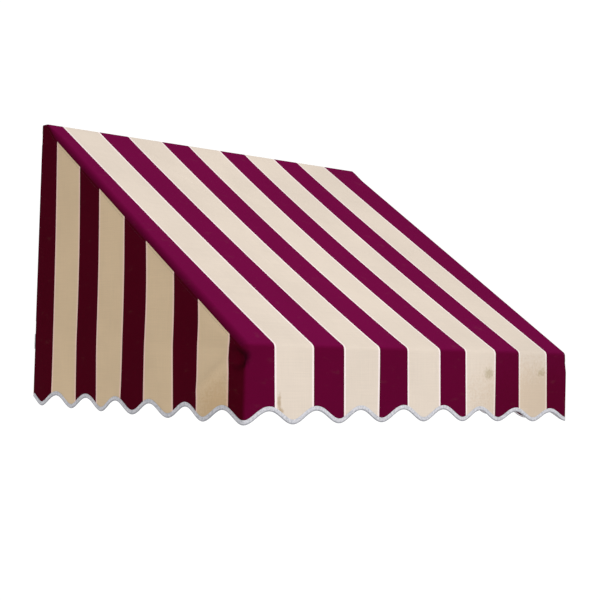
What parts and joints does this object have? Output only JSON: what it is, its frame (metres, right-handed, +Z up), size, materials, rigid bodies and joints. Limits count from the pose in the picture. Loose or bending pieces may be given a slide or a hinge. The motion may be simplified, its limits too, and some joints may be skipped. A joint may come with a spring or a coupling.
{
  "type": "window awning",
  "caption": "Fixed window awning: a striped canvas cover with sloping roof, two sides and a scalloped valance on a tubular wall frame that shades and keeps rain off a window.",
  "frame": {"origin": "centre of the rear face of the middle header bracket, on the wall plane", "axes": "+Z up, the wall plane is y = 0, the awning stands out towards -Y, +X is to the right as the wall is faced"},
  "size_m": [1.148, 0.916, 0.762],
  "materials": {
    "striped_canvas": "woven acrylic canvas in burgundy and cream stripes, matt",
    "binding_tape": "light grey woven edge tape",
    "strap_canvas": "cream canvas",
    "tube_aluminium": "mill finish tube",
    "cast_aluminium": "fine cast surface",
    "bracket_steel": "zinc plated",
    "screw_steel": "zinc plated"
  },
  "bodies": {
    "root": {"arm_left": "tube_aluminium", "arm_right": "tube_aluminium", "arm_strap_left": "strap_canvas", "arm_strap_right": "strap_canvas", "foot_bracket_left": "cast_aluminium", "foot_bracket_right": "cast_aluminium", "front_bar": "tube_aluminium", "front_corner_left": "cast_aluminium", "front_corner_right": "cast_aluminium", "front_strap": "strap_canvas", "header_bar": "tube_aluminium", "header_bracket_centre": "bracket_steel", "header_bracket_left": "bracket_steel", "header_bracket_right": "bracket_steel", "header_corner_left": "cast_aluminium", "header_corner_right": "cast_aluminium", "hem_binding": "binding_tape", "rafter_left": "tube_aluminium", "rafter_right": "tube_aluminium", "roof_panel": "striped_canvas", "screw_arm_foot_left": "screw_steel", "screw_arm_foot_right": "screw_steel", "screw_arm_front_left": "screw_steel", "screw_arm_front_right": "screw_steel", "screw_bracket_centre": "screw_steel", "screw_bracket_left": "screw_steel", "screw_bracket_right": "screw_steel", "screw_cover_left_1": "screw_steel", "screw_cover_left_2": "screw_steel", "screw_cover_left_3": "screw_steel", "screw_cover_right_1": "screw_steel", "screw_cover_right_2": "screw_steel", "screw_cover_right_3": "screw_steel", "screw_cover_top_1": "screw_steel", "screw_cover_top_2": "screw_steel", "screw_cover_top_3": "screw_steel", "screw_cover_top_4": "screw_steel", "screw_cover_top_5": "screw_steel", "screw_front_bar_left": "screw_steel", "screw_front_bar_right": "screw_steel", "screw_header_left": "screw_steel", "screw_header_right": "screw_steel", "screw_rafter_front_left": "screw_steel", "screw_rafter_front_right": "screw_steel", "screw_rafter_top_left": "screw_steel", "screw_rafter_top_right": "screw_steel", "screw_upright_foot_left": "screw_steel", "screw_upright_foot_right": "screw_steel", "screw_upright_top_left": "screw_steel", "screw_upright_top_right": "screw_steel", "side_panel_left": "striped_canvas", "side_panel_right": "striped_canvas", "upright_left": "tube_aluminium", "upright_right": "tube_aluminium"}
  },
  "joints": []
}
